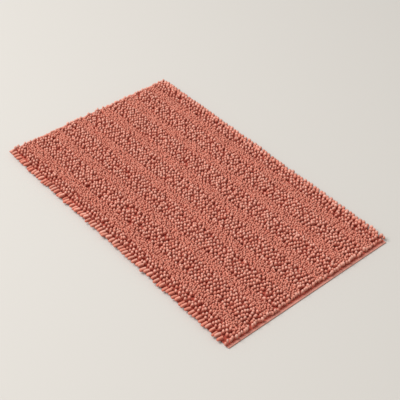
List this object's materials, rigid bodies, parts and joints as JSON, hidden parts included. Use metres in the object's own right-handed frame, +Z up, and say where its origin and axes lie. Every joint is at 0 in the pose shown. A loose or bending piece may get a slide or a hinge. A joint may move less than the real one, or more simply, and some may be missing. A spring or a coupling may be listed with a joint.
{
  "type": "bath mat",
  "caption": "Rectangular chenille bath mat, woven ground with hemmed ends and a pile of bobble and rib bands, lying flat on a floor.",
  "frame": {"origin": "on the floor, under the middle of the mat", "axes": "+X along the mat's long side, +Y along its short side, from the edge nearest the viewer to the far one, +Z up, out of the pile"},
  "size_m": [0.8, 0.4998, 0.015],
  "materials": {
    "raised_chenille": "coral chenille yarn, raised as bobbles and loops, soft and matt",
    "bound_chenille": "the same coral chenille yarn, bound down as ribs, matt",
    "woven_ground": "dyed plain-woven ground cloth, matt",
    "sewing_thread": "dyed spun sewing thread, slight sheen",
    "latex_coat": "off-white latex coating, matt, taking the weave's relief"
  },
  "bodies": {
    "root": {"anti_slip_coat": "latex_coat", "ground_cloth": "woven_ground", "hem_left_upper_thread": "sewing_thread", "hem_left_lower_thread": "sewing_thread", "hem_right_upper_thread": "sewing_thread", "hem_right_lower_thread": "sewing_thread", "bobble_band_1": "raised_chenille", "bobble_band_2": "raised_chenille", "bobble_band_3": "raised_chenille", "bobble_band_4": "raised_chenille", "bobble_band_5": "raised_chenille", "bobble_band_6": "raised_chenille", "bobble_band_7": "raised_chenille", "rib_band_1": "bound_chenille", "rib_band_2": "bound_chenille", "rib_band_3": "bound_chenille", "rib_band_4": "bound_chenille", "rib_band_5": "bound_chenille", "rib_band_6": "bound_chenille", "edge_loops_front": "raised_chenille", "edge_loops_back": "raised_chenille", "end_run_left": "bound_chenille", "end_run_right": "bound_chenille"}
  },
  "joints": []
}
